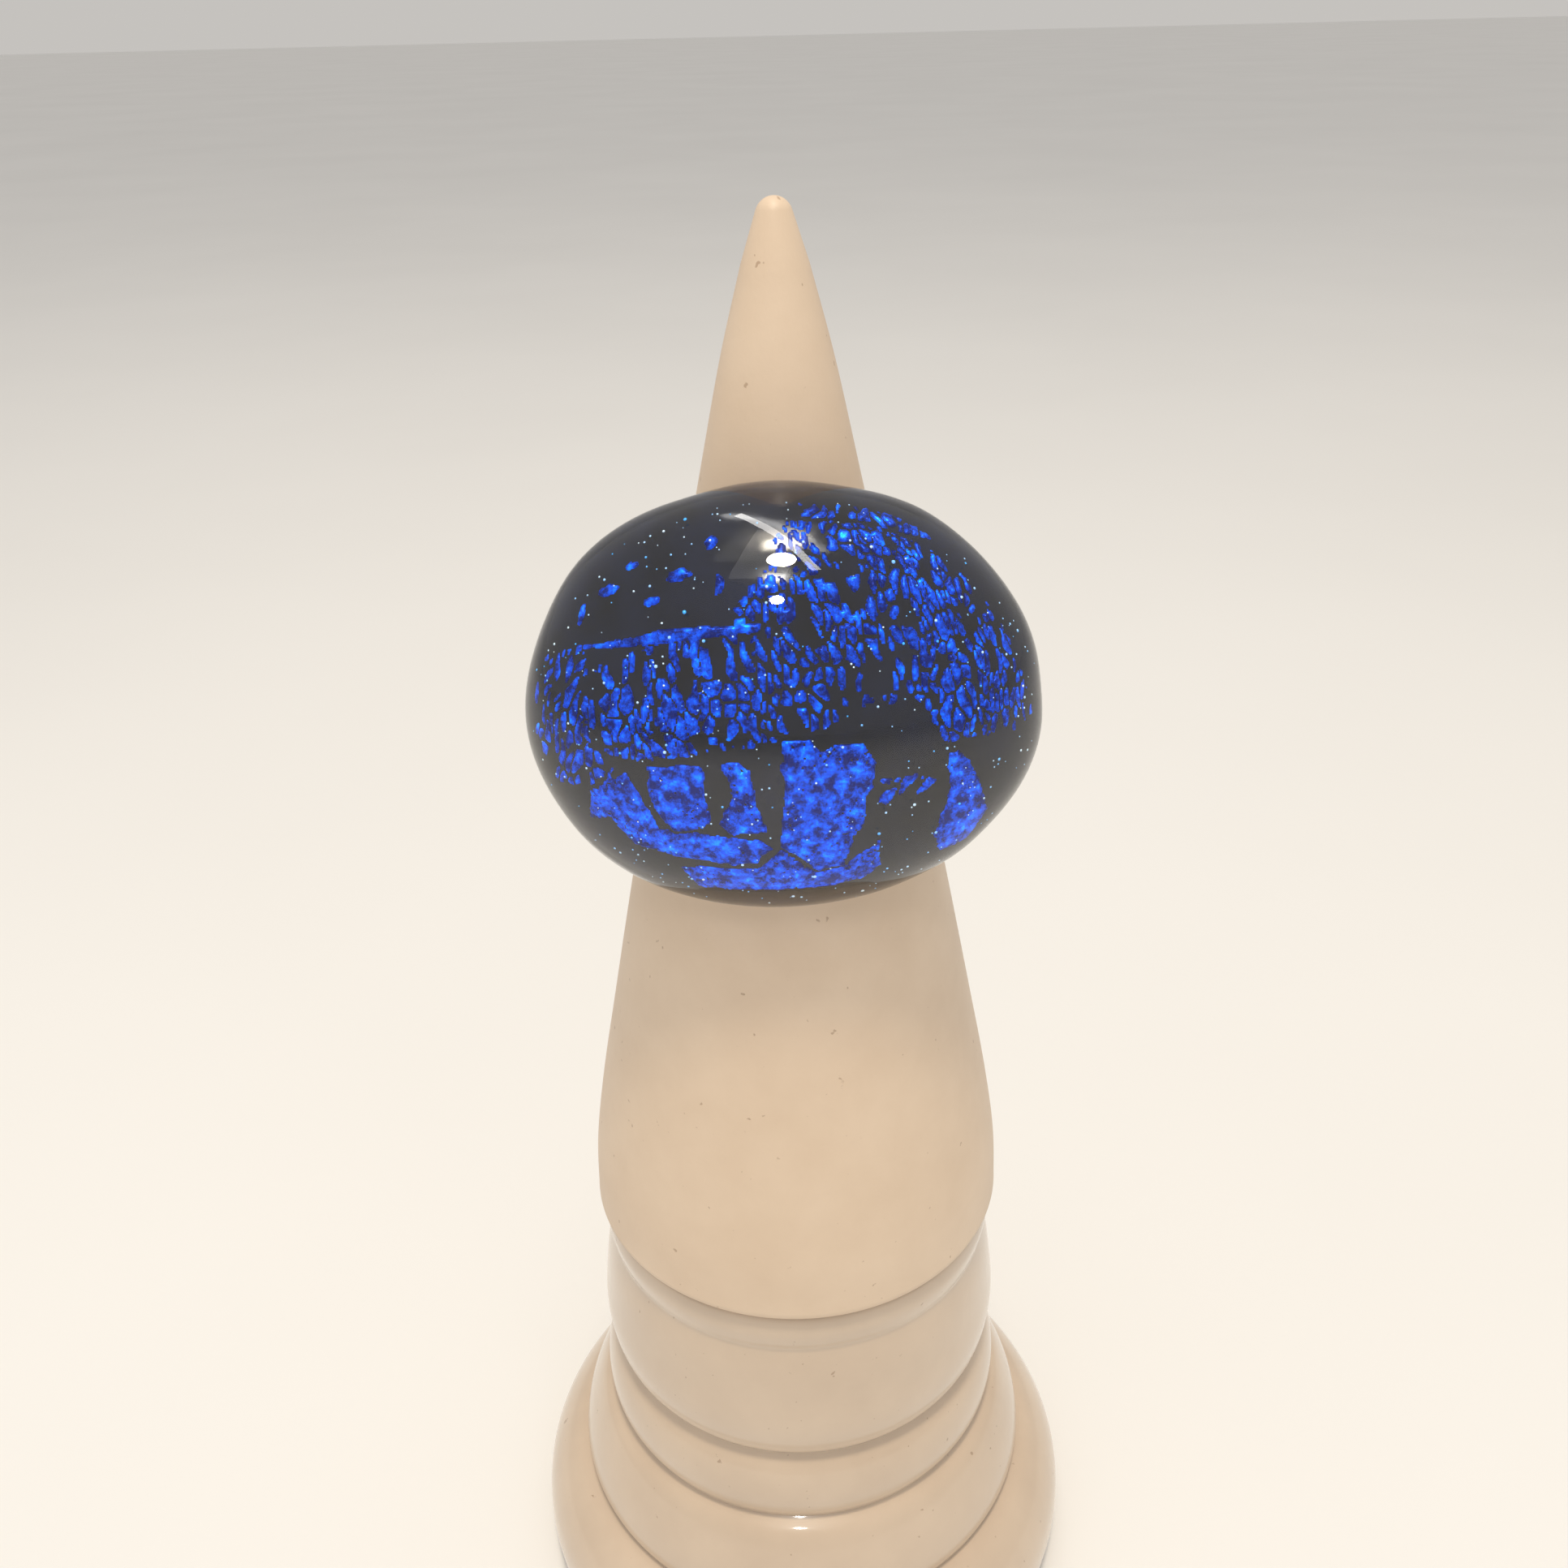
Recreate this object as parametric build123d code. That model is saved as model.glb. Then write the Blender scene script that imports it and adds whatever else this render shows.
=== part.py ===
from build123d import *
import math
import os

# Large domed glass finger ring standing on a turned display cone.
# Millimetres, +Z up.  Origin: centre of the underside of the felt pad, on the cone's axis.
# The dome of the ring faces -Y and looks a little upwards.

# ---------------------------------------------------------------- driving dimensions
# stand
EDGE_R = 14.8            # radius of the cone's sharp lower edge
CONE_H = 68.1            # height of the cone above that edge
TIP_R = 1.04             # radius of the rounded tip
FELT_T = 1.2             # felt pad thickness
FELT_R = 20.0
BASE_H = 36.0            # turned base, from the felt to the cone's underside
SPIGOT_R = 13.2          # raised seat on the base that carries the cone
SEAT_GAP = 0.35          # shadow gap between the cone's edge and the first bead
EDGE_FILLET = 0.3
# fastening
SCREW_D = 4.0            # M4 x 28 pan head
SCREW_L = 28.0
HEAD_D = 8.0
HEAD_H = 3.1
WASHER_D = 11.6
WASHER_T = 1.0
INSERT_D = 7.0
INSERT_L = 13.0
POCKET_D = 12.6          # counterbore in the base for screw and washer
FIT = 0.05               # radial play of fitted round parts
# ring
BORE_R = 8.65            # finger size: 17.3 mm inside diameter
TILT = 14.0              # how far the dome looks up from the level
RING_Y = 0.95            # ring centre behind the cone's axis, as it hangs on the cone
RING_Z_OVER_EDGE = 40.5  # ring centre above the cone's edge
DOME_OFFSET = 10.2       # widest plane of the dome in front of the bore's axis
DOME_X = 14.25           # half width, half height, rise of the front, depth of the back
DOME_W = 11.9
DOME_F = 8.2
DOME_B = 12.6
CORE_X = 13.5            # the same four for the black core that carries the foil
CORE_W = 10.6
CORE_F = 5.9
CORE_B = 11.3
CASING_BACK = 3.2        # the clear casing stops this far in front of the bore's axis
FOIL_T = 0.14            # leaf thickness as modelled
FOIL_ROOM = 0.20         # room between core and casing for the leaf
BAND_T = 2.4             # thickness and width of the shank at the back
BAND_W = 6.4
BAND_W_SIDE = 10.5       # width of the shank where it runs into the dome
FLARE_START = 9.2        # the bore opens out beyond this height from its middle
FLARE_R = 2.4

EDGE_Z = FELT_T + BASE_H
RING_Z = EDGE_Z + RING_Z_OVER_EDGE

os.makedirs("parts", exist_ok=True)


def write(solids, name):
    shapes = solids if isinstance(solids, list) else [solids]
    out = []
    for s in shapes:
        out.extend(s.solids())
    body = out[0] if len(out) == 1 else Compound(children=out)
    body.label = name
    export_step(body, "parts/" + name + ".step")
    print(name, len(out), round(sum(s.volume for s in out), 2))


# ---------------------------------------------------------------- display cone
# half profile of the cone, radius and height over the edge, both in edge radii
CONE_PROFILE = [
    (0.985, 0.28), (0.930, 0.64), (0.840, 1.10), (0.728, 1.66), (0.596, 2.30),
    (0.447, 2.99), (0.316, 3.59), (0.213, 4.05), (0.127, 4.37),
]


def cone_solid():
    z0 = EDGE_Z
    tip_c = z0 + CONE_H - TIP_R
    a = math.radians(18.4)
    on_tip = (TIP_R * math.cos(a), tip_c + TIP_R * math.sin(a))
    mid_a = math.radians(54.0)
    on_tip2 = (TIP_R * math.cos(mid_a), tip_c + TIP_R * math.sin(mid_a))
    e = EDGE_FILLET
    pts = [(EDGE_R, z0 + e)] + [(r * EDGE_R, z0 + h * EDGE_R) for r, h in CONE_PROFILE] + [on_tip]
    hole_r = INSERT_D / 2 + FIT
    top = z0 + INSERT_L + 0.6
    with BuildSketch(Plane.XZ) as sk:
        with BuildLine():
            Spline(*pts, tangents=[(-0.012, 1.0), (-math.sin(a), math.cos(a))])
            ThreePointArc(on_tip, on_tip2, (0, tip_c + TIP_R))
            Line((0, tip_c + TIP_R), (0, top))
            Line((0, top), (hole_r, top))
            Line((hole_r, top), (hole_r, z0))
            Line((hole_r, z0), (EDGE_R - e, z0))
            ThreePointArc((EDGE_R - e, z0), (EDGE_R - e + e * math.sin(math.pi / 4), z0 + e - e * math.cos(math.pi / 4)), (EDGE_R, z0 + e))
        make_face()
    return revolve(sk.sketch, axis=Axis.Z)


cone = cone_solid()

# ---------------------------------------------------------------- turned base
# beads from the top down: radius and depth under the cone's edge, both in edge radii
BEADS = [
    [(0.905, 0.0225), (0.952, 0.045), (0.974, 0.120), (0.968, 0.195), (0.952, 0.255)],
    [(0.952, 0.255), (0.984, 0.400), (1.006, 0.560), (1.020, 0.700), (1.018, 0.800), (0.998, 0.900), (0.955, 0.975)],
    [(0.955, 0.975), (1.015, 1.065), (1.045, 1.190), (1.042, 1.290), (1.012, 1.375)],
    [(1.012, 1.375), (1.085, 1.425), (1.150, 1.540), (1.198, 1.680), (1.212, 1.790), (1.190, 1.870)],
    [(1.190, 1.870), (1.290, 1.905), (1.380, 1.990), (1.440, 2.110), (1.4615, 2.240), (1.452, 2.345), (1.412, BASE_H / EDGE_R)],
]


def base_solid():
    z = lambda h: EDGE_Z - h * EDGE_R
    hole_r = SCREW_D / 2 + 0.2
    web_z = EDGE_Z - 15.0
    with BuildSketch(Plane.XZ) as sk:
        with BuildLine():
            Line((hole_r, EDGE_Z), (SPIGOT_R, EDGE_Z))
            first = (BEADS[0][0][0] * EDGE_R, z(BEADS[0][0][1]))
            Line((SPIGOT_R, EDGE_Z), (SPIGOT_R, first[1]))
            Line((SPIGOT_R, first[1]), first)
            for bead in BEADS:
                Spline(*[(r * EDGE_R, z(h)) for r, h in bead])
            last = (BEADS[-1][-1][0] * EDGE_R, z(BEADS[-1][-1][1]))
            if abs(last[1] - FELT_T) > 1e-6:
                Line(last, (last[0], FELT_T))
            Line((last[0], FELT_T), (POCKET_D / 2, FELT_T))
            Line((POCKET_D / 2, FELT_T), (POCKET_D / 2, web_z))
            Line((POCKET_D / 2, web_z), (hole_r, web_z))
            Line((hole_r, web_z), (hole_r, EDGE_Z))
        make_face()
    return revolve(sk.sketch, axis=Axis.Z)


base = base_solid()
felt = Pos(0, 0, FELT_T / 2) * Cylinder(FELT_R, FELT_T)

# ---------------------------------------------------------------- fastening
web_z = EDGE_Z - 15.0
washer = Pos(0, 0, web_z - WASHER_T / 2) * (Cylinder(WASHER_D / 2, WASHER_T) - Cylinder(SCREW_D / 2 + 0.15, WASHER_T))
head_top = web_z - WASHER_T
with BuildSketch(Plane.XZ) as sk:
    with BuildLine():
        r, h = HEAD_D / 2, HEAD_H
        Line((0, head_top + SCREW_L), (SCREW_D / 2 - 0.4, head_top + SCREW_L))
        Line((SCREW_D / 2 - 0.4, head_top + SCREW_L), (SCREW_D / 2, head_top + SCREW_L - 0.4))
        Line((SCREW_D / 2, head_top + SCREW_L - 0.4), (SCREW_D / 2, head_top))
        Line((SCREW_D / 2, head_top), (r, head_top))
        Line((r, head_top), (r, head_top - 0.9))
        ThreePointArc((r, head_top - 0.9), (r * 0.72, head_top - h * 0.82), (0, head_top - h))
        Line((0, head_top - h), (0, head_top + SCREW_L))
    make_face()
screw = revolve(sk.sketch, axis=Axis.Z)
slot_z = head_top - HEAD_H
screw -= Pos(0, 0, slot_z + 0.5) * Box(4.4, 0.9, 2.4)
screw -= Pos(0, 0, slot_z + 0.5) * Box(0.9, 4.4, 2.4)

insert_solid = Pos(0, 0, EDGE_Z + INSERT_L / 2) * (Cylinder(INSERT_D / 2, INSERT_L) - Cylinder(SCREW_D / 2 + FIT, INSERT_L))
for k in range(3):       # barbs round the insert
    zc = EDGE_Z + 3.0 + 3.5 * k
    insert_solid -= Pos(0, 0, zc) * (Cylinder(INSERT_D / 2 + 1, 0.7) - Cylinder(INSERT_D / 2 - 0.35, 0.7))

# ---------------------------------------------------------------- ring, in its own frame
# here the bore runs along Z and the dome faces -Y; place() leans it back on the cone


def egg(ax, aw, af, ab):
    """Closed egg: half width ax, half height aw, rise af to the front (-Y), depth ab to the back."""
    with BuildSketch(Plane.XY) as sk:
        with BuildLine():
            EllipticalCenterArc((0, 0), ax, af, start_angle=270, arc_size=90)
            EllipticalCenterArc((0, 0), ax, ab, start_angle=0, arc_size=90)
            Line((0, ab), (0, -af))
        make_face()
    body = revolve(sk.sketch, axis=Axis.Y)
    body = scale(body, by=(1, 1, aw / ax))
    return Pos(0, -DOME_OFFSET, 0) * body


def bore_cutter():
    h = 16.0
    r, s, f = BORE_R, FLARE_START, FLARE_R
    a = math.radians(70)
    top = (r + f - f * math.cos(a), s + f * math.sin(a))
    mid = (r + f - f * math.cos(a / 2), s + f * math.sin(a / 2))
    far = (top[0] + (h - top[1]) / math.tan(math.radians(20)), h)
    with BuildSketch(Plane.XZ) as sk:
        with BuildLine():
            Line((0, -h), (0, h))
            Line((0, h), far)
            Line(far, top)
            ThreePointArc(top, mid, (r, s))
            Line((r, s), (r, -s))
            ThreePointArc((r, -s), (mid[0], -mid[1]), (top[0], -top[1]))
            Line((top[0], -top[1]), (far[0], -h))
            Line((far[0], -h), (0, -h))
        make_face()
    return revolve(sk.sketch, axis=Axis.Z)


def shank():
    """Band lofted round the bore, narrow at the back and wider where it runs into the dome."""
    sections = []
    n = 11
    for k in range(n):
        ang = -28.0 + 236.0 * k / (n - 1)          # degrees from +X towards +Y
        back = 0.5 - 0.5 * math.cos(2 * math.pi * k / (n - 1))
        w = BAND_W_SIDE + (BAND_W - BAND_W_SIDE) * back ** 0.8
        rc = BORE_R + BAND_T / 2 - 0.55
        a = math.radians(ang)
        pl = Plane(origin=(rc * math.cos(a), rc * math.sin(a), 0), x_dir=(math.cos(a), math.sin(a), 0), z_dir=(-math.sin(a), math.cos(a), 0))
        sections.append(pl * Ellipse(BAND_T / 2 + 0.55, w / 2))
    return loft(sections)


bore = bore_cutter()
outer = egg(DOME_X, DOME_W, DOME_F, DOME_B)
core_egg = egg(CORE_X, CORE_W, CORE_F, CORE_B)
leaf_egg = egg(CORE_X + FOIL_T, CORE_W + FOIL_T, CORE_F + FOIL_T, CORE_B + FOIL_T)
room_egg = egg(CORE_X + FOIL_ROOM, CORE_W + FOIL_ROOM, CORE_F + FOIL_ROOM, CORE_B + FOIL_ROOM)
front = Pos(0, -CASING_BACK - 20, 0) * Box(60, 40, 60)
behind = Pos(0, -CASING_BACK + 20, 0) * Box(60, 40, 60)

casing = (outer & front) - room_egg - bore
core = (core_egg & front) + (outer & behind)
core = core + (shank() & behind)
core = core - bore

# leaf pieces: outlines in the (x, height) plane of the dome, cut through the thin shell over the core
shell = (leaf_egg - core_egg) & (Pos(0, -DOME_OFFSET - 20, 0) * Box(60, 40, 60))
LEAF = {
    "foil_upper_sheet": [
        [(1.0, 9.5), (3.9, 9.3), (6.6, 8.4), (9.0, 6.5), (10.9, 4.2), (11.6, 1.3), (11.4, -1.0), (9.6, -1.0), (7.7, -1.2), (6.5, 0.7), (4.7, 0.8), (3.3, 0.1), (1.6, -0.5), (-0.3, -0.6), (-2.6, -1.4), (-5.1, -1.6), (-6.9, -1.7), (-7.3, -0.2), (-7.7, 2.2), (-6.3, 3.9), (-3.8, 4.1), (-1.4, 4.6), (-1.0, 5.5), (0.7, 5.5), (0.2, 7.4)],
        [(-3.7, 9.5), (-0.6, 9.5), (0.3, 8.7), (-0.2, 5.9), (-3.8, 6.0), (-4.3, 7.0)],
    ],
    "foil_top_band": [
        [(1.0, 10.2), (4.0, 9.9), (6.2, 9.1), (5.0, 9.05), (3.1, 9.55), (1.3, 9.75)],
    ],
    "foil_left_flakes": [
        [(-11.9, 3.9), (-11.0, 5.0), (-9.1, 5.7), (-9.1, 4.1), (-9.7, 3.1), (-8.2, 1.8), (-8.2, -2.1), (-9.8, -2.0), (-11.0, -0.5), (-12.1, 0.3), (-12.1, 2.7)],
        [(-8.8, 7.2), (-8.4, 7.5), (-7.7, 7.5), (-7.9, 6.6), (-8.6, 6.4)],
        [(-5.6, 7.2), (-4.7, 7.5), (-5.0, 6.9)],
    ],
    "foil_lower_patches": [
        [(-7.2, -2.2), (-4.3, -2.0), (-4.1, -2.7), (-4.3, -3.8), (-3.8, -4.7), (-4.2, -5.4), (-5.8, -5.4), (-6.7, -4.8), (-7.1, -3.5)],
        [(-3.3, -2.0), (-2.5, -1.8), (-1.8, -2.5), (-1.6, -3.6), (-1.3, -4.7), (-1.1, -5.7), (-2.8, -5.7), (-3.5, -5.3), (-2.7, -3.7)],
        [(-0.2, -0.9), (1.2, -0.8), (1.7, -1.5), (2.5, -1.0), (3.8, -1.0), (4.4, -2.1), (4.3, -3.4), (3.9, -4.0), (4.0, -4.9), (3.4, -6.3), (2.9, -7.4), (1.5, -7.5), (-0.3, -6.4), (-0.4, -5.1), (-0.1, -3.6), (-0.3, -2.1)],
    ],
    "foil_lower_left_patch": [
        [(-10.1, -3.8), (-8.2, -2.5), (-7.5, -3.9), (-6.7, -5.6), (-4.2, -6.0), (-1.4, -6.2), (-1.0, -6.7), (-3.2, -7.3), (-5.7, -7.1), (-7.9, -6.5), (-9.3, -5.0), (-10.2, -5.2)],
    ],
    "foil_right_patches": [
        [(8.1, -1.9), (8.8, -1.8), (9.8, -3.5), (10.3, -5.4), (9.3, -6.9), (7.8, -7.3), (7.5, -6.3), (8.3, -4.0)],
        [(9.6, -1.9), (11.4, -2.3), (11.5, -3.2), (10.5, -3.2)],
    ],
    "foil_bottom_strip": [
        [(-5.4, -8.0), (-3.2, -7.7), (-0.3, -7.9), (1.8, -8.1), (3.2, -7.9), (4.7, -6.7), (4.7, -7.9), (3.8, -8.6), (1.8, -8.9), (-1.8, -9.0), (-4.4, -8.8)],
    ],
}
leaf_nodes = {}
for name, outlines in LEAF.items():
    pieces = []
    for pts in outlines:
        with BuildSketch(Plane.XZ) as sk:
            with BuildLine():
                Polyline(*pts, close=True)
            make_face()
        # Plane.XZ faces -Y, so the extrusion runs to the front of the dome
        prism = extrude(sk.sketch, amount=40)
        cut = (shell & prism) - bore
        pieces.extend(cut.solids())
    leaf_nodes[name] = pieces


def place(shape):
    return Pos(0, RING_Y, RING_Z) * (Rot(-TILT, 0, 0) * shape)


write(cone, "display_cone")
write(base, "beaded_base")
write(felt, "felt_pad")
write(screw, "base_screw")
write(washer, "screw_washer")
write(insert_solid, "threaded_insert")
write(place(core), "ring_band")
write(place(casing), "clear_dome")
for name, pieces in leaf_nodes.items():
    write([place(p) for p in pieces], name)
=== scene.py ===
import math

import bpy
import numpy as np
from mathutils import Matrix, Vector


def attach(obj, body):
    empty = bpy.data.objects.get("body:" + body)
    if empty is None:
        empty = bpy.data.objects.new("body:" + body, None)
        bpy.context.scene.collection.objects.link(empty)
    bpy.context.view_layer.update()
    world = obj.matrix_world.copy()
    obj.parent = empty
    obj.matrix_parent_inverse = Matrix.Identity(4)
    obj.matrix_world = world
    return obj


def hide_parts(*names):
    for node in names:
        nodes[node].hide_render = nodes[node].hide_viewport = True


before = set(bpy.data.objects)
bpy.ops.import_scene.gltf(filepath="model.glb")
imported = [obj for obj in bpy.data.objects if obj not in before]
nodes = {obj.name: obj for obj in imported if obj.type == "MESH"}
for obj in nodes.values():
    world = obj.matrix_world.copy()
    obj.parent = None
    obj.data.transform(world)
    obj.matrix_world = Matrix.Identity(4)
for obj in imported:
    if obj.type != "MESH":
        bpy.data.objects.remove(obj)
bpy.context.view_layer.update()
scene = bpy.context.scene
MM = 0.001

# ---------------------------------------------------------------- sizes, mm, as in the CAD frame
R = 14.8
EDGE_Z = 37.2
CONE_H = 68.1
TIP_R = 1.04
DOME_OFFSET, DOME_X, DOME_W, DOME_F, DOME_B = 10.2, 14.25, 11.9, 8.2, 12.6
KX, KW, KF, KB = 13.5, 10.6, 5.9, 11.3
CASING_BACK = 3.2
TILT = math.radians(14.0)
RING_AT = (0.0, 0.95, 77.7)


# ---------------------------------------------------------------- small numpy helpers
def to_row(p):
    """Ring frame (x, y, w) in mm to the row frame in metres."""
    c, s = math.cos(TILT), math.sin(TILT)
    x, y, z = p[:, 0], p[:, 1], p[:, 2]
    return np.stack([x + RING_AT[0], y * c + z * s + RING_AT[1], -y * s + z * c + RING_AT[2]], 1) * MM


def mesh_object(name, verts, faces, smooth=True):
    me = bpy.data.meshes.new(name)
    me.from_pydata([tuple(v) for v in verts], [], [tuple(int(i) for i in f) for f in faces])
    me.validate()
    me.update()
    if smooth:
        me.polygons.foreach_set("use_smooth", np.ones(len(me.polygons), bool))
    o = bpy.data.objects.new(name, me)
    scene.collection.objects.link(o)
    return o


def curve_through(points, per=10):
    """A smooth curve through the points (Catmull-Rom, centripetal)."""
    P = np.array(points, float)
    P = np.vstack([2 * P[0] - P[1], P, 2 * P[-1] - P[-2]])
    out = []
    for i in range(1, len(P) - 2):
        p0, p1, p2, p3 = P[i - 1], P[i], P[i + 1], P[i + 2]
        t0 = 0.0
        t1 = t0 + max(np.linalg.norm(p1 - p0), 1e-9) ** 0.5
        t2 = t1 + max(np.linalg.norm(p2 - p1), 1e-9) ** 0.5
        t3 = t2 + max(np.linalg.norm(p3 - p2), 1e-9) ** 0.5
        for t in np.linspace(t1, t2, per, endpoint=False):
            a1 = (t1 - t) / (t1 - t0) * p0 + (t - t0) / (t1 - t0) * p1
            a2 = (t2 - t) / (t2 - t1) * p1 + (t - t1) / (t2 - t1) * p2
            a3 = (t3 - t) / (t3 - t2) * p2 + (t - t2) / (t3 - t2) * p3
            b1 = (t2 - t) / (t2 - t0) * a1 + (t - t0) / (t2 - t0) * a2
            b2 = (t3 - t) / (t3 - t1) * a2 + (t - t1) / (t3 - t1) * a3
            out.append((t2 - t) / (t2 - t1) * b1 + (t - t1) / (t2 - t1) * b2)
    out.append(P[-2])
    return np.array(out)


def lathe(name, profile, closed, segments=224):
    """Turns a profile of (r, z) in mm round Z. A point with r = 0 becomes a pole."""
    verts, rings = [], []
    for r, z in profile:
        if r < 1e-6:
            rings.append([len(verts)])
            verts.append((0, 0, z * MM))
        else:
            rings.append(list(range(len(verts), len(verts) + segments)))
            for k in range(segments):
                a = 2 * math.pi * k / segments
                verts.append((r * math.cos(a) * MM, r * math.sin(a) * MM, z * MM))
    faces = []
    pairs = list(zip(rings[:-1], rings[1:])) + ([(rings[-1], rings[0])] if closed else [])
    for a, b in pairs:
        for k in range(segments):
            j = (k + 1) % segments
            if len(a) == 1 and len(b) == 1:
                continue
            if len(a) == 1:
                faces.append((a[0], b[k], b[j]))
            elif len(b) == 1:
                faces.append((a[k], b[0], a[j]))
            else:
                faces.append((a[k], b[k], b[j], a[j]))
    o = mesh_object(name, verts, faces)
    bm_fix(o)
    o.data.set_sharp_from_angle(angle=math.radians(32))
    return o


def bm_fix(o):
    import bmesh
    bm = bmesh.new()
    bm.from_mesh(o.data)
    bmesh.ops.recalc_face_normals(bm, faces=bm.faces)
    bm.to_mesh(o.data)
    bm.free()


def hash2(i, j, k):
    h = np.sin(i * 127.1 + j * 311.7 + k * 74.7) * 43758.5453
    return h - np.floor(h)


def value_noise(x, y, k):
    i, j = np.floor(x), np.floor(y)
    u, v = x - i, y - j
    u, v = u * u * (3 - 2 * u), v * v * (3 - 2 * v)
    return (hash2(i, j, k) * (1 - u) + hash2(i + 1, j, k) * u) * (1 - v) + (
        hash2(i, j + 1, k) * (1 - u) + hash2(i + 1, j + 1, k) * u) * v


def cells(x, y, k):
    """Nearest and second distances of a jittered lattice, and a number for the nearest cell."""
    i, j = np.floor(x), np.floor(y)
    f1 = np.full(x.shape, 9.0)
    f2 = np.full(x.shape, 9.0)
    cid = np.zeros(x.shape)
    for di in (-1, 0, 1):
        for dj in (-1, 0, 1):
            a, b = i + di, j + dj
            d = np.hypot(a + hash2(a, b, k) - x, b + hash2(a, b, k + 5.3) - y)
            n = hash2(a, b, k + 9.1)
            f2 = np.where(d < f1, f1, np.minimum(f2, d))
            cid = np.where(d < f1, n, cid)
            f1 = np.minimum(f1, d)
    return f1, f2, cid


def inside(poly, x, y):
    """Signed distance to a polygon, positive inside."""
    P = np.array(poly, float)
    best = np.full(x.shape, 1e9)
    odd = np.zeros(x.shape, bool)
    for a, b in zip(P, np.roll(P, -1, 0)):
        e = b - a
        t = np.clip(((x - a[0]) * e[0] + (y - a[1]) * e[1]) / max(e @ e, 1e-9), 0, 1)
        best = np.minimum(best, np.hypot(x - a[0] - t * e[0], y - a[1] - t * e[1]))
        hit = ((a[1] > y) != (b[1] > y)) & (x < (b[0] - a[0]) * (y - a[1]) / (b[1] - a[1] + 1e-12) + a[0])
        odd ^= hit
    return np.where(odd, best, -best)


# ---------------------------------------------------------------- materials
def new_material(name):
    m = bpy.data.materials.new(name)
    m.use_nodes = True
    nt = m.node_tree
    return m, nt, nt.nodes["Principled BSDF"], nt.nodes["Material Output"]


def tex_coord(nt, scale=(1, 1, 1)):
    tc = nt.nodes.new("ShaderNodeTexCoord")
    mp = nt.nodes.new("ShaderNodeMapping")
    mp.inputs["Scale"].default_value = scale
    nt.links.new(tc.outputs["Object"], mp.inputs["Vector"])
    return mp.outputs["Vector"]


def noise(nt, vec, scale, detail=4, rough=0.55):
    n = nt.nodes.new("ShaderNodeTexNoise")
    n.inputs["Scale"].default_value = scale
    n.inputs["Detail"].default_value = detail
    n.inputs["Roughness"].default_value = rough
    nt.links.new(vec, n.inputs["Vector"])
    return n.outputs["Fac"]


def ramp(nt, fac, stops):
    r = nt.nodes.new("ShaderNodeValToRGB")
    e = r.color_ramp.elements
    while len(e) < len(stops):
        e.new(0.5)
    for el, (p, c) in zip(e, stops):
        el.position = p
        el.color = (*c, 1)
    nt.links.new(fac, r.inputs["Fac"])
    return r.outputs["Color"]


def bump(nt, p, height, strength, distance):
    b = nt.nodes.new("ShaderNodeBump")
    b.inputs["Strength"].default_value = strength
    b.inputs["Distance"].default_value = distance
    nt.links.new(height, b.inputs["Height"])
    nt.links.new(b.outputs["Normal"], p.inputs["Normal"])


def cream(name, low, high, rough_a, rough_b, coat, grain):
    m, nt, p, out = new_material(name)
    v = tex_coord(nt)
    base = ramp(nt, noise(nt, v, 160, 5), [(0.3, low), (0.7, high)])
    specks = ramp(nt, noise(nt, v, 1500, 2), [(0.235, (0.45, 0.34, 0.26)), (0.275, (1, 1, 1))])
    mix = nt.nodes.new("ShaderNodeMixRGB")
    mix.blend_type = "MULTIPLY"
    mix.inputs["Fac"].default_value = 0.55
    nt.links.new(base, mix.inputs["Color1"])
    nt.links.new(specks, mix.inputs["Color2"])
    nt.links.new(mix.outputs["Color"], p.inputs["Base Color"])
    streak = noise(nt, tex_coord(nt, (1, 1, 0.06)), 2600, 3)
    r = nt.nodes.new("ShaderNodeMapRange")
    r.inputs["To Min"].default_value = rough_a
    r.inputs["To Max"].default_value = rough_b
    nt.links.new(streak, r.inputs["Value"])
    nt.links.new(r.outputs["Result"], p.inputs["Roughness"])
    p.inputs["Coat Weight"].default_value = coat
    p.inputs["Coat Roughness"].default_value = 0.07
    p.inputs["Subsurface Weight"].default_value = 0.0
    bump(nt, p, noise(nt, v, 2200, 3), grain, 0.00006)
    return m


cone_mat = cream("cone_satin", (0.72, 0.565, 0.42), (0.78, 0.625, 0.475), 0.42, 0.52, 0.0, 0.22)
# the base uses the cone's cream darkened by about a sixth: painted shade; the coat is its real glossy finish
base_mat = cream("base_gloss", (0.60, 0.475, 0.36), (0.66, 0.53, 0.405), 0.26, 0.34, 0.85, 0.05)

glass, nt, p, out = new_material("clear_glass")
p.inputs["Base Color"].default_value = (0.97, 0.985, 1.0, 1)
p.inputs["Transmission Weight"].default_value = 1.0
p.inputs["IOR"].default_value = 1.5
n = noise(nt, tex_coord(nt), 90, 2)
r = nt.nodes.new("ShaderNodeMapRange")
r.inputs["To Min"].default_value = 0.0
r.inputs["To Max"].default_value = 0.02
nt.links.new(n, r.inputs["Value"])
nt.links.new(r.outputs["Result"], p.inputs["Roughness"])
tr = nt.nodes.new("ShaderNodeBsdfTransparent")
tr.inputs["Color"].default_value = (0.95, 0.95, 0.96, 1)
lp = nt.nodes.new("ShaderNodeLightPath")
mx = nt.nodes.new("ShaderNodeMixShader")
nt.links.new(lp.outputs["Is Shadow Ray"], mx.inputs["Fac"])
nt.links.new(p.outputs["BSDF"], mx.inputs[1])
nt.links.new(tr.outputs["BSDF"], mx.inputs[2])
nt.links.new(mx.outputs["Shader"], out.inputs["Surface"])

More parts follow.
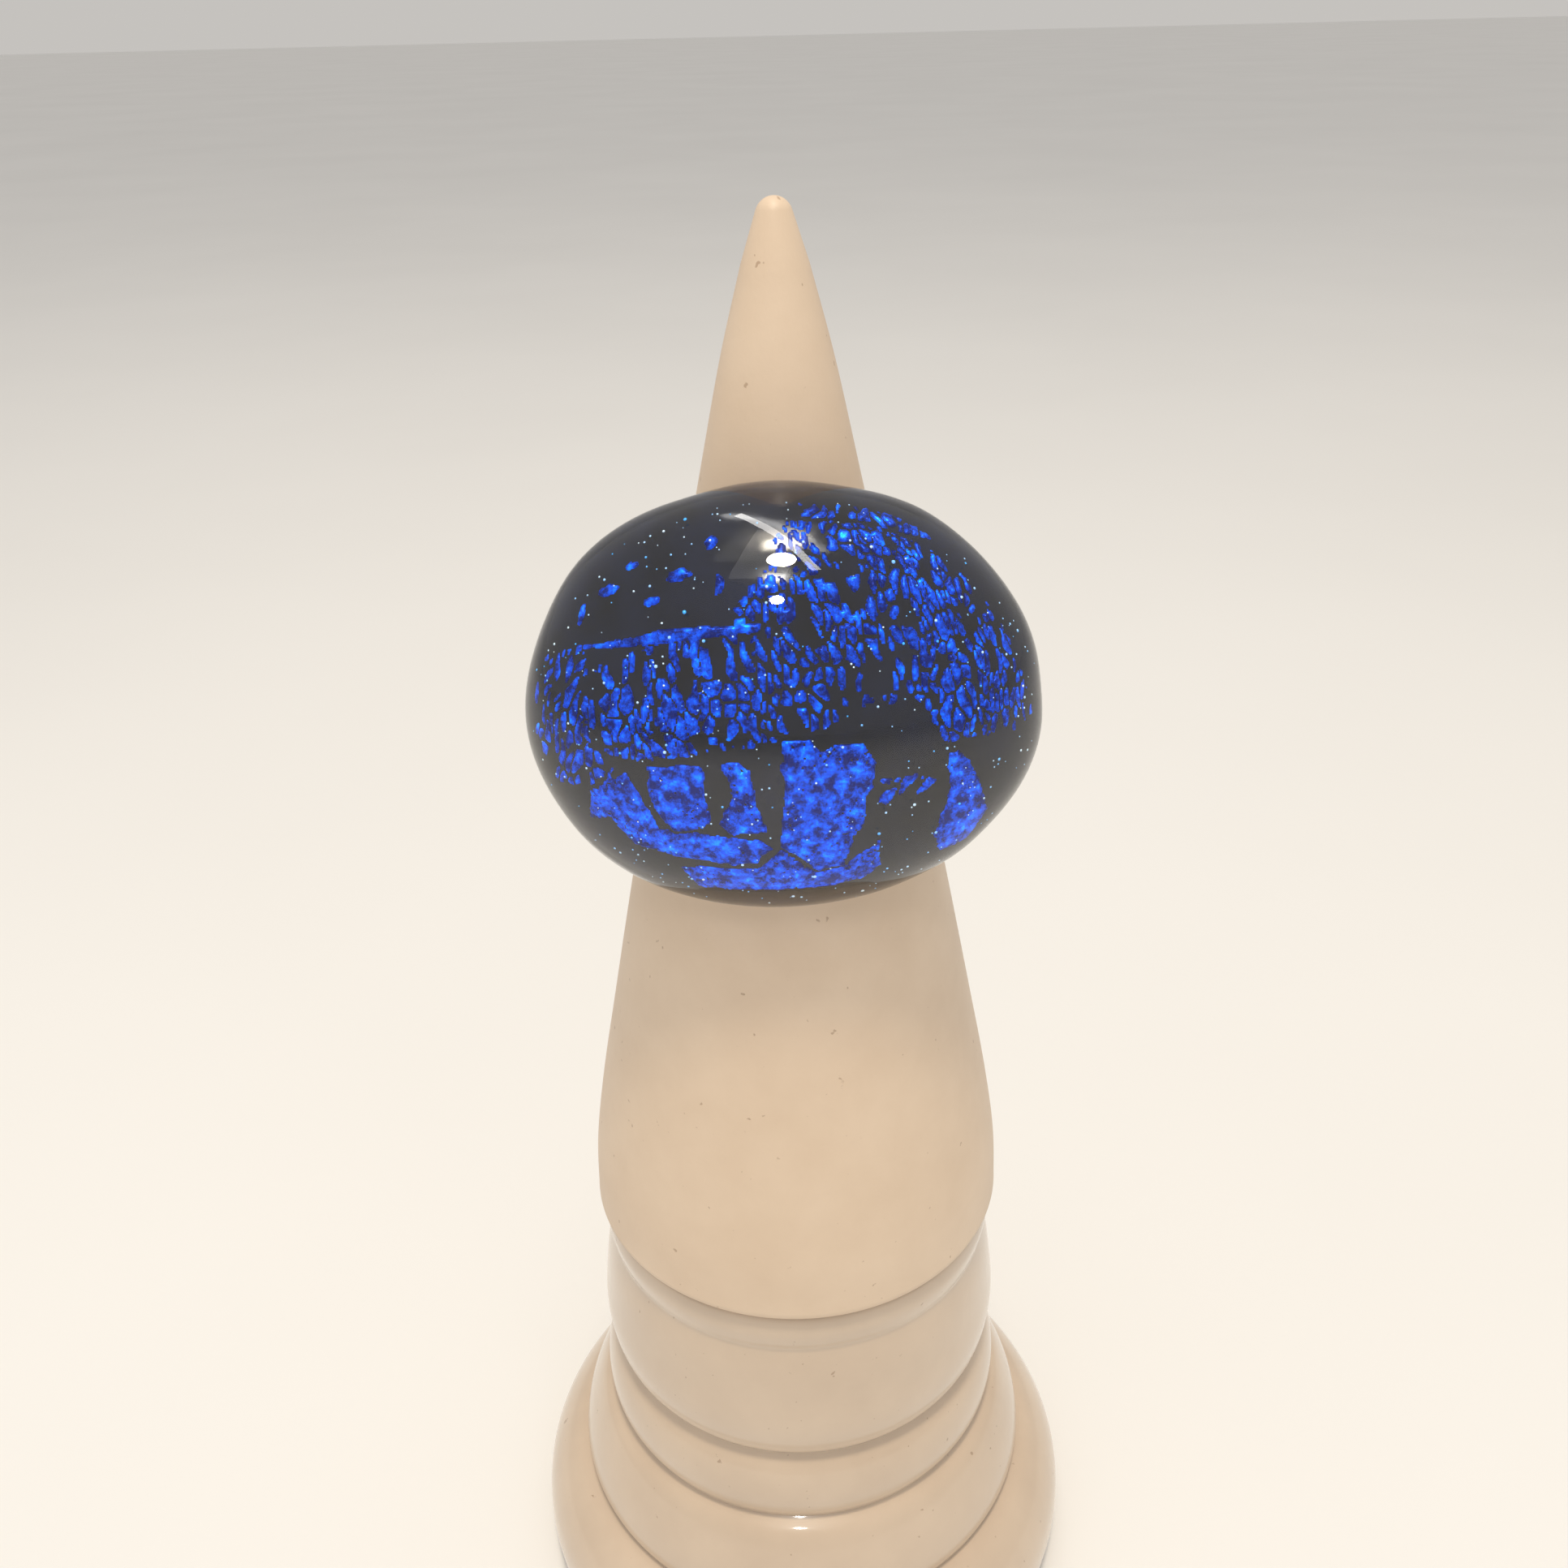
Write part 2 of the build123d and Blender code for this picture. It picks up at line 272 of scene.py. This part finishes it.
black, nt, p, out = new_material("black_glass")
nt.links.new(ramp(nt, noise(nt, tex_coord(nt), 300, 4), [(0.35, (0.0015, 0.002, 0.006)), (0.75, (0.006, 0.010, 0.035))]), p.inputs["Base Color"])
p.inputs["Roughness"].default_value = 0.09
bump(nt, p, noise(nt, tex_coord(nt), 420, 2), 0.12, 0.00008)

foil, nt, p, out = new_material("blue_leaf")
v = tex_coord(nt)
# per-vertex value read here: random lightness per flake and cell, plus painted highlights (a bright area upper
# right, a bright crease, a bright crescent on the lower left patch); the ramp maps it from deep blue to pale cyan
att = nt.nodes.new("ShaderNodeAttribute")
att.attribute_name = "heat"
fine = noise(nt, v, 1500, 4, 0.7)
add = nt.nodes.new("ShaderNodeMath")
add.operation = "MULTIPLY_ADD"
add.inputs[1].default_value = 1.7
nt.links.new(fine, add.inputs[0])
nt.links.new(att.outputs["Fac"], add.inputs[2])
sub = nt.nodes.new("ShaderNodeMath")
sub.operation = "SUBTRACT"
sub.inputs[1].default_value = 0.62
nt.links.new(add.outputs[0], sub.inputs[0])
col = ramp(nt, sub.outputs[0], [(0.08, (0.0, 0.006, 0.10)), (0.34, (0.0, 0.06, 0.62)), (0.58, (0.0, 0.22, 1.0)), (0.80, (0.02, 0.55, 1.0)), (1.0, (0.25, 0.95, 1.0))])
nt.links.new(col, p.inputs["Base Color"])
# the leaf glows in its own colour (emission 0.95): painted light, strongest where the painted highlights are
nt.links.new(col, p.inputs["Emission Color"])
p.inputs["Emission Strength"].default_value = 0.95
p.inputs["Metallic"].default_value = 0.85
p.inputs["Roughness"].default_value = 0.34
bump(nt, p, noise(nt, v, 2600, 3), 0.5, 0.00008)

seed_mat, nt, p, out = new_material("seed_painted_glint")
# the bubbles are small pale blue spheres that glow (emission 0.45): painted glints standing in for light caught in
# real bubbles
nt.links.new(ramp(nt, noise(nt, tex_coord(nt), 900, 1), [(0.35, (0.05, 0.45, 1.0)), (0.65, (0.75, 0.93, 1.0))]), p.inputs["Base Color"])
nt.links.new(p.inputs["Base Color"].links[0].from_socket, p.inputs["Emission Color"])
p.inputs["Emission Strength"].default_value = 0.45
p.inputs["Roughness"].default_value = 0.15

felt_mat, nt, p, out = new_material("felt")
v = tex_coord(nt)
nt.links.new(ramp(nt, noise(nt, v, 1800, 6, 0.75), [(0.3, (0.05, 0.045, 0.04)), (0.75, (0.15, 0.135, 0.12))]), p.inputs["Base Color"])
p.inputs["Roughness"].default_value = 0.95
p.inputs["Sheen Weight"].default_value = 0.4
bump(nt, p, noise(nt, v, 3500, 5, 0.8), 0.8, 0.0002)


def metal(name, a, b, rough):
    m, nt, p, out = new_material(name)
    v = tex_coord(nt, (1, 1, 0.1))
    nt.links.new(ramp(nt, noise(nt, v, 1200, 4), [(0.3, a), (0.7, b)]), p.inputs["Base Color"])
    p.inputs["Metallic"].default_value = 1.0
    p.inputs["Roughness"].default_value = rough
    bump(nt, p, noise(nt, v, 4000, 3), 0.2, 0.00003)
    return m


steel = metal("screw_steel", (0.45, 0.45, 0.46), (0.62, 0.62, 0.63), 0.3)
brass = metal("insert_brass", (0.62, 0.42, 0.16), (0.75, 0.53, 0.24), 0.28)


def paint(o, m):
    o.data.materials.clear()
    o.data.materials.append(m)


for name, m in (("ring_band", black), ("felt_pad", felt_mat), ("base_screw", steel), ("screw_washer", steel), ("threaded_insert", brass)):
    paint(nodes[name], m)

# ---------------------------------------------------------------- stand
cone_pts = [(1.0, 0.02), (0.985, 0.28), (0.930, 0.64), (0.840, 1.10), (0.728, 1.66), (0.596, 2.30), (0.447, 2.99), (0.316, 3.59), (0.213, 4.05), (0.127, 4.37)]
side = curve_through([(r * R, EDGE_Z + h * R) for r, h in cone_pts], 14)
tip_z = EDGE_Z + CONE_H - TIP_R
tip = [(TIP_R * math.cos(a), tip_z + TIP_R * math.sin(a)) for a in np.radians(np.linspace(20, 90, 10))]
tip[-1] = (0.0, tip_z + TIP_R)
profile = [(0, EDGE_Z + 13.3), (3.52, EDGE_Z + 13.3), (3.52, EDGE_Z), (R - 0.28, EDGE_Z), (R - 0.10, EDGE_Z + 0.06)] + [tuple(q) for q in side] + tip
cone = lathe("cone_shell", profile, False)
paint(cone, cone_mat)
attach(cone, "stand")
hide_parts("display_cone")

BEADS = [
    [(0.905, 0.0225), (0.952, 0.045), (0.974, 0.120), (0.968, 0.195), (0.952, 0.255)],
    [(0.952, 0.255), (0.984, 0.400), (1.006, 0.560), (1.020, 0.700), (1.018, 0.800), (0.998, 0.900), (0.955, 0.975)],
    [(0.955, 0.975), (1.015, 1.065), (1.045, 1.190), (1.042, 1.290), (1.012, 1.375)],
    [(1.012, 1.375), (1.085, 1.425), (1.150, 1.540), (1.198, 1.680), (1.212, 1.790), (1.190, 1.870)],
    [(1.190, 1.870), (1.290, 1.905), (1.380, 1.990), (1.440, 2.110), (1.4615, 2.240), (1.452, 2.345), (1.412, 36.0 / R)],
]
profile = [(2.25, EDGE_Z - 0.02), (13.2, EDGE_Z - 0.02)]
for b in BEADS:
    c = curve_through([(r * R, EDGE_Z - h * R) for r, h in b], 9)
    profile += [tuple(q) for q in (c if b is BEADS[0] else c[1:])]
profile += [(6.3, 1.2), (6.3, EDGE_Z - 15), (2.25, EDGE_Z - 15)]
base = lathe("beaded_foot", profile, True)
paint(base, base_mat)
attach(base, "stand")
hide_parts("beaded_base")

# ---------------------------------------------------------------- clear casing
OUT = [(1.5, .994), (17, .998), (34, .994), (49, 1.0035), (56, 1.013), (63, 1.013), (76, .997), (88, 1.002), (102, 1.003), (108, .996), (121, 1.015), (128, 1.022), (135.5, 1.024), (143, 1.019), (151, 1.005), (160, .998), (168, 1.002), (177, 1.011), (184, 1.018), (193, 1.022), (201, 1.022), (210, 1.0255), (218, 1.035), (226, 1.038), (234, 1.036), (241, 1.031), (248, 1.022), (255, 1.015), (261, 1.009), (268, 1.003), (276, .999), (283, .998), (290, 1.0), (304, 1.002), (311, 1.0135), (319, 1.0085), (327, 1.010), (335, 1.016), (344, 1.0165), (353, 1.011)]
oa = np.array([a for a, _ in OUT])
ov = np.array([b for _, b in OUT])
NPHI, NT = 256, 72


def outline(phi):
    d = np.degrees(phi) % 360
    s = np.zeros_like(d)
    for k in (-4, 0, 4):
        s += np.interp((d + k) % 360, np.r_[oa[-1] - 360, oa, oa[0] + 360], np.r_[ov[-1], ov, ov[0]]) / 3
    return s


def shell(ax, aw, af, ab, phi, back, use_outline):
    """A grid of points on the half-ellipsoid pair from the front pole to where it meets the back limit."""
    rows = []
    k = outline(phi) if use_outline else np.ones_like(phi)
    # depth at which this spoke stops: the casing's back plane, or the bore's mouth where that is nearer
    xr = ax * np.cos(phi)
    f_end = np.maximum(-back, np.where(np.abs(xr) < 10.0, np.sqrt(np.maximum(0, 100.0 - xr ** 2)) - 10.2, -back))
    t_end = math.pi / 2 + np.arcsin(np.clip(-f_end / ab, 0, 0.9))
    for i in range(NT + 1):
        t = t_end * i / NT
        kk = 1 + (k - 1) * np.sin(np.minimum(t, math.pi / 2)) ** 3
        x = ax * np.sin(t) * np.cos(phi) * kk
        w = aw * np.sin(t) * np.sin(phi) * kk
        f = np.where(t < math.pi / 2, af, ab) * np.cos(t)
        rows.append(np.stack([x, -DOME_OFFSET - f, w], 1))
    return rows


phi = np.linspace(0, 2 * math.pi, NPHI, endpoint=False)
outer = shell(DOME_X, DOME_W, DOME_F, DOME_B, phi, CASING_BACK, True)
inner = shell(KX - 0.06, KW - 0.06, KF - 0.06, KB - 0.06, phi, CASING_BACK, False)
verts, faces = [outer[0][:1]], []
count = 1
ring_rows = []
for row in outer[1:] + inner[:0:-1]:
    ring_rows.append(count)
    verts.append(row)
    count += NPHI
verts.append(inner[0][:1])
for k in range(NPHI):
    j = (k + 1) % NPHI
    faces.append((0, ring_rows[0] + k, ring_rows[0] + j))
    for a, b in zip(ring_rows[:-1], ring_rows[1:]):
        faces.append((a + k, b + k, b + j, a + j))
    faces.append((count, ring_rows[-1] + j, ring_rows[-1] + k))
dome = mesh_object("dome_casing", to_row(np.vstack(verts)), faces)
bm_fix(dome)
dome.data.set_sharp_from_angle(angle=math.radians(50))
paint(dome, glass)
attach(dome, "ring")
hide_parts("clear_dome")

# ---------------------------------------------------------------- blue leaf on the core, in the core's unrolled plane (mm)
H = 0.10
gx = np.arange(-21.5, 21.5, H)
gw = np.arange(-15.5, 15.5, H)
X, W = np.meshgrid(gx, gw, indexing="ij")
warp_x = X + 0.9 * (value_noise(X / 2.1, W / 2.6, 1.0) - 0.5) + 0.35 * (value_noise(X / 0.7, W / 0.9, 2.0) - 0.5)
warp_w = W + 1.4 * (value_noise(X / 2.4, W / 2.2, 3.0) - 0.5) + 0.35 * (value_noise(X / 0.8, W / 0.8, 4.0) - 0.5)
ragged = 0.5 * (value_noise(X / 0.8, W / 0.6, 11.0) - 0.5) + 0.35 * (value_noise(X / 0.3, W / 0.3, 12.0) - 0.5)

A = [(-7.63, -2.34), (-4.42, -2.07), (-4.19, -2.83), (-4.48, -3.94), (-4.01, -4.99), (-4.52, -5.94), (-6.47, -6.41), (-7.34, -5.31), (-7.62, -3.77)]
B = [(-3.4, -2.05), (-2.49, -1.86), (-1.81, -2.51), (-1.68, -3.67), (-1.38, -4.91), (-1.15, -6.05), (-2.99, -6.33), (-3.7, -5.65), (-2.79, -3.88)]
C = [(-0.17, -0.89), (1.22, -0.84), (1.74, -1.49), (2.54, -0.99), (3.89, -1.06), (4.55, -2.22), (4.51, -3.58), (4.06, -4.15), (4.22, -5.25), (3.65, -6.86), (3.31, -8.82), (1.67, -9.25), (-0.34, -7.05), (-0.38, -5.36), (-0.07, -3.69), (-0.29, -2.15)]
D = [(-11.98, -4.45), (-8.92, -2.75), (-8.15, -4.27), (-7.33, -6.29), (-4.57, -6.31), (-1.46, -6.53), (-1.02, -7.3), (-1.99, -8.47), (-4.08, -8.64), (-6.7, -8.46), (-9.52, -7.92), (-10.84, -6.24), (-12.77, -6.67)]
RT = [(8.77, -2.08), (9.72, -2.01), (11.38, -4.02), (13.29, -6.95), (12.61, -9.37), (10.04, -9.58), (8.88, -7.46), (9.32, -4.51)]
S = [(-6.74, -9.51), (-4.08, -8.64), (-1.99, -8.47), (-0.34, -7.31), (1.67, -9.25), (3.31, -8.82), (5.22, -7.11), (5.58, -9.34), (4.66, -10.63), (2.21, -11.14), (-2.25, -11.39), (-6.16, -11.6)]
V1 = [(5.59, 0.63), (6.38, 0.94), (7.18, 0.17), (7.82, -0.82), (8.73, -1.49), (8.92, -2.51), (8.42, -3.26), (7.54, -3.34), (6.65, -2.82), (5.26, -3.06), (4.66, -2.61), (4.83, -1.87), (5.78, -1.57), (5.97, -0.48)]
E = [(4.87, -3.12), (6.87, -3.04), (8.24, -3.65), (7.63, -4.2), (5.38, -4.84), (3.96, -4.14)]
TOP = [(1.11, 13.4), (5.61, 13.6), (8.71, 12.5), (9.95, 10.98), (8.02, 11.08), (3.9, 12.02), (1.22, 12.08)]
SHEET = [(-3.2, 4.7), (-0.9, 8.5), (0.4, 11.6), (5.0, 11.6), (8.5, 10.7), (11.4, 8.3), (13.8, 5.4), (15.6, 2.0), (17.4, -1.0), (14.3, -1.6), (10.7, -1.4), (8.3, -1.5), (7.6, 0.4), (6.4, 1.1), (4.8, 0.9), (1.6, -0.5), (-0.3, -0.7), (-2.7, -1.5), (-5.3, -1.8), (-8.8, -2.2), (-12.0, -1.5), (-11.5, 2.5), (-8.0, 3.9)]
LEFT = [(-17.6, 3.6), (-12.0, 4.4), (-11.0, 2.4), (-10.8, -1.6), (-9.2, -2.6), (-12.4, -4.2), (-15.6, -4.6), (-17.6, -1.5)]
CREASE = [(-11.9, 4.05), (-9.43, 4.0), (-6.55, 4.15), (-3.27, 4.35), (-1.2, 4.6), (-1.2, 5.05), (-2.5, 5.0), (-3.5, 4.95), (-4.8, 5.0), (-6.6, 4.9), (-8.3, 4.55), (-11.9, 4.35)]
FLAKES = [(-5.86, 8.05, 0.8, 0.45), (-10.7, 7.7, 0.9, 0.4), (-9.2, 9.2, 0.45, 0.25), (-4.2, 10.2, 0.35, 0.5), (-7.4, 6.6, 0.5, 0.25), (-12.6, 6.3, 0.4, 0.7), (-3.4, 7.2, 0.3, 0.6)]

f1, f2, cid = cells(warp_x / 0.52 + warp_w * 0.22, warp_w / 1.25, 21.0)
crackle = (f2 - f1) - 0.15
crackle = np.where(cid < 0.16, -0.2, crackle)
g1, g2, gid = cells(warp_x / 0.75 - warp_w * 0.5, warp_w / 1.7, 31.0)
streaks = (g2 - g1) - 0.24
streaks = np.where(gid < 0.22, -0.2, streaks)
small1, small2, sid = cells(X / 0.34, W / 0.42, 41.0)
pits = small1 - 0.16 - 0.2 * (value_noise(X / 1.7, W / 1.7, 42.0) - 0.5)

# the leaf thins towards the left and opens to black in places
thin = value_noise(X / 3.0, W / 2.6, 51.0)
density = 0.16 * (thin - 0.42)


def both(*fields):
    out = fields[0]
    for f in fields[1:]:
        out = np.minimum(out, f)
    return out


void1 = inside(V1, X, W)
sheet_d = inside(SHEET, X, W) + ragged
left_d = inside(LEFT, X, W) + ragged
crease_d = inside(CREASE, X, W) + 0.3 * ragged
flake_d = np.full(X.shape, -9.0)
for cx, cw, rx, rw in FLAKES:
    flake_d = np.maximum(flake_d, (1 - np.hypot((X - cx) / rx, (W - cw) / rw)) * min(rx, rw) + 0.5 * ragged)
patch_lower = np.maximum(np.maximum(inside(A, X, W), inside(B, X, W)), inside(C, X, W))

# name: (CAD nodes, mask, tone with painted highlights, ridge height)
ridges = np.sin((W + 0.25 * value_noise(X / 1.6, W / 1.6, 61.0)) * 2 * math.pi / 0.42)
# painted highlight: a broad bright area over the upper right of the leaf
right_painted_highlight = np.exp(-((X - 4.5) / 6.5) ** 2 - ((W - 7.0) / 6.0) ** 2)
pieces = {
    # upper sheet: the +0.45 along the crease is a painted highlight on the fold
    "leaf_upper_sheet": ("foil_upper_sheet", np.maximum(both(sheet_d, crackle + density, -void1 + ragged), both(crease_d, pits + 0.3)), 0.22 + 0.42 * right_painted_highlight + 0.5 * (cid - 0.5) + np.where(crease_d > 0, 0.45, 0), 0.0),
    "leaf_top_band": ("foil_top_band", both(inside(TOP, X, W) + ragged, streaks + 0.08), 0.05 + 0.3 * gid, 0.0),
    "leaf_left_flakes": ("foil_left_flakes", np.maximum(both(left_d, streaks + density, -crease_d - 0.12, -sheet_d - 0.05), both(flake_d, -crease_d - 0.12)), 0.12 + 0.5 * (gid - 0.3), 0.0),
    "leaf_lower_patches": ("foil_lower_patches", both(patch_lower + 0.45 * ragged, pits + 0.12, -void1, -sheet_d - 0.1), 0.34 + 0.35 * (value_noise(X / 1.2, W / 0.5, 71.0) - 0.4) - 0.02 * W, 0.035),
    # lower left patch: the narrow exp band is a painted highlight, a bright crescent across the patch
    "leaf_lower_left_patch": ("foil_lower_left_patch", both(inside(D, X, W) + 0.5 * ragged, pits + 0.1, -patch_lower - 0.15), 0.34 + 0.55 * np.exp(-((W + 7.3 - 0.02 * (X + 5) ** 2) / 0.9) ** 2), 0.02),
    "leaf_right_patches": ("foil_right_patches", both(np.maximum(inside(RT, X, W) + 0.5 * ragged, both(inside(E, X, W) + 0.4 * ragged, streaks + 0.05)), pits + 0.1, -sheet_d - 0.1, -patch_lower - 0.15), 0.22 + 0.5 * (value_noise(X / 0.9, W / 1.5, 81.0) - 0.4), 0.03),
    "leaf_bottom_strip": ("foil_bottom_strip", both(inside(S, X, W) + 0.5 * ragged, pits + 0.05, -patch_lower - 0.15, -inside(D, X, W) - 0.45), 0.2 + 0.5 * (value_noise(X / 1.4, W / 0.6, 91.0) - 0.4), 0.03),
}


def leaf(name, cad, mask, heat, ridge):
    m = np.where(np.hypot(X / KX, W / KW) > 1.42, -1.0, mask)
    on = (m[:-1, :-1] > 0) & (m[1:, :-1] > 0) & (m[1:, 1:] > 0) & (m[:-1, 1:] > 0)
    gxm, gwm = np.gradient(m, H)
    used = np.zeros(m.shape, bool)
    for a, b in ((0, 0), (1, 0), (1, 1), (0, 1)):
        used[a:a + on.shape[0], b:b + on.shape[1]] |= on
    pad = np.pad(on, 1)
    full = pad[:-1, :-1] & pad[1:, :-1] & pad[1:, 1:] & pad[:-1, 1:]
    edge = used & ~full
    g2 = gxm ** 2 + gwm ** 2 + 1e-6
    lim = 0.45 * H
    dx = np.where(edge, np.clip(-m * gxm / g2, -lim, lim), 0)
    dw = np.where(edge, np.clip(-m * gwm / g2, -lim, lim), 0)
    idx = -np.ones(m.shape, int)
    idx[used] = np.arange(used.sum())
    x, w = (X + dx)[used], (W + dw)[used]
    t = np.hypot(x / KX, w / KW)
    ph = np.arctan2(w / KW, x / KX)
    relief = (0.045 * (value_noise(X / 0.5, W / 0.7, 101.0) + value_noise(X / 0.2, W / 0.25, 102.0)) + ridge * 0.5 * (1 + ridges) + 0.05)[used]
    lift_top = np.where(edge[used], 0.045, relief + 0.03)

    def on_core(lift):
        px = (KX + lift) * np.sin(t) * np.cos(ph)
        pw = (KW + lift) * np.sin(t) * np.sin(ph)
        pf = np.where(t < math.pi / 2, KF + lift, KB + lift) * np.cos(t)
        return np.stack([px, -DOME_OFFSET - pf, pw], 1)

    n = int(used.sum())
    V = to_row(np.vstack([on_core(lift_top), on_core(np.full(n, 0.015))]))
    q = np.stack([idx[:-1, :-1][on], idx[1:, :-1][on], idx[1:, 1:][on], idx[:-1, 1:][on]], 1)
    walls = []
    for (a0, b0), (a1, b1), nb in (((0, 0), (1, 0), (0, -1)), ((1, 0), (1, 1), (1, 0)), ((1, 1), (0, 1), (0, 1)), ((0, 1), (0, 0), (-1, 0))):
        other = pad[1 + nb[0]:1 + nb[0] + on.shape[0], 1 + nb[1]:1 + nb[1] + on.shape[1]]
        sel = on & ~other
        i, j = np.nonzero(sel)
        p0, p1 = idx[i + a0, j + b0], idx[i + a1, j + b1]
        walls.append(np.stack([p1, p0, p0 + n, p1 + n], 1))
    F = np.vstack([q, q[:, ::-1] + n] + walls)
    me = bpy.data.meshes.new(name)
    me.vertices.add(len(V))
    me.vertices.foreach_set("co", V.astype(np.float32).ravel())
    me.loops.add(F.size)
    me.loops.foreach_set("vertex_index", F.astype(np.int32).ravel())
    me.polygons.add(len(F))
    me.polygons.foreach_set("loop_start", np.arange(0, F.size, 4, dtype=np.int32))
    me.update(calc_edges=True)
    me.polygons.foreach_set("use_smooth", np.ones(len(F), bool))
    a = me.attributes.new("heat", "FLOAT", "POINT")
    h = np.clip(heat, 0, 1)[used]
    a.data.foreach_set("value", np.r_[h, h].astype(np.float32))
    o = bpy.data.objects.new(name, me)
    scene.collection.objects.link(o)
    paint(o, foil)
    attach(o, "ring")
    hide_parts(cad)
    print(name, len(F) * 2, "triangles")


for name, (cad, mask, heat, ridge) in pieces.items():
    leaf(name, cad, mask, heat, ridge)

# ---------------------------------------------------------------- seed bubbles just over the leaf, drawn as glowing pale specks: painted glints
rng = np.random.default_rng(7)
verts, faces = [], []
a, b = 0.525731, 0.850651
ico = np.array([(-a, b, 0), (a, b, 0), (-a, -b, 0), (a, -b, 0), (0, -a, b), (0, a, b), (0, -a, -b), (0, a, -b), (b, 0, -a), (b, 0, a), (-b, 0, -a), (-b, 0, a)])
tri = np.array([(0, 11, 5), (0, 5, 1), (0, 1, 7), (0, 7, 10), (0, 10, 11), (1, 5, 9), (5, 11, 4), (11, 10, 2), (10, 7, 6), (7, 1, 8), (3, 9, 4), (3, 4, 2), (3, 2, 6), (3, 6, 8), (3, 8, 9), (4, 9, 5), (2, 4, 11), (6, 2, 10), (8, 6, 7), (9, 8, 1)])
k = 0
while k < 420:
    t, ph = math.sqrt(rng.uniform(0, 1)) * 1.3, rng.uniform(0, 2 * math.pi)
    r = float(np.clip(rng.lognormal(-3.05, 0.35), 0.03, 0.11))
    lift = r + 0.22 + rng.uniform(0, 0.25)
    c = np.array([(KX + lift) * math.sin(t) * math.cos(ph), -DOME_OFFSET - (KF + lift) * math.cos(t), (KW + lift) * math.sin(t) * math.sin(ph)])
    faces.append(tri + 12 * k)
    verts.append(c + r * ico)
    k += 1
seeds = mesh_object("seed_bubbles", to_row(np.vstack(verts)), np.vstack(faces))
paint(seeds, seed_mat)
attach(seeds, "ring")

# ---------------------------------------------------------------- floor, lights, camera
floor = mesh_object("studio_floor", [(-4, -4, 0), (4, -4, 0), (4, 8, 0), (-4, 8, 0)], [(0, 1, 2, 3)], False)
fm, nt, p, out = new_material("floor_pale")
nt.links.new(ramp(nt, noise(nt, tex_coord(nt), 6, 3), [(0.3, (0.86, 0.855, 0.845)), (0.7, (0.89, 0.885, 0.875))]), p.inputs["Base Color"])
p.inputs["Roughness"].default_value = 0.8
paint(floor, fm)

world = bpy.data.worlds.new("studio")
scene.world = world
world.use_nodes = True
bg = world.node_tree.nodes["Background"]
bg.inputs["Color"].default_value = (1.0, 0.965, 0.92, 1)
bg.inputs["Strength"].default_value = 0.56


def lamp(name, at, aim, size, power, color, shape="RECTANGLE", size_y=None):
    l = bpy.data.lights.new(name, "AREA")
    l.shape = shape
    l.size = size
    if size_y:
        l.size_y = size_y
    l.energy = power
    l.color = color
    o = bpy.data.objects.new(name, l)
    o.location = at
    o.rotation_euler = (Vector(aim) - Vector(at)).to_track_quat("-Z", "Y").to_euler()
    scene.collection.objects.link(o)
    return o


aim = (0, 0, 0.07)


def at(elevation, distance, x=0.0):
    e = math.radians(elevation)
    return (x, -distance * math.cos(e), 0.07 + distance * math.sin(e))


lamp("key", at(75, 0.62), aim, 0.09, 1.8, (1.0, 0.88, 0.70), "DISK")
lamp("strip", at(92, 0.60, -0.01), aim, 0.03, 0.5, (1.0, 0.98, 0.95), "RECTANGLE", 0.55)
lamp("round", at(54, 0.70, -0.02), aim, 0.05, 0.45, (1.0, 0.97, 0.93), "DISK")
lamp("panel", at(80, 0.9, -0.05), aim, 0.26, 0.35, (1.0, 0.98, 0.96), "RECTANGLE", 0.5)

cam_data = bpy.data.cameras.new("camera")
cam_data.sensor_width = 36.0
cam_data.lens = 32.61
cam_data.clip_start = 0.005
cam_data.clip_end = 50
cam = bpy.data.objects.new("camera", cam_data)
scene.collection.objects.link(cam)
pitch = math.radians(90 - 28.59)
cam.matrix_world = (
    Matrix.Translation((0, -0.080752, 0.113885))
    @ Matrix.Rotation(math.radians(0.15), 4, "Z")
    @ Matrix.Rotation(pitch, 4, "X")
    @ Matrix.Rotation(math.radians(-1.42), 4, "Z")
)
scene.camera = cam
scene.view_settings.view_transform = "Standard"

bpy.context.view_layer.update()
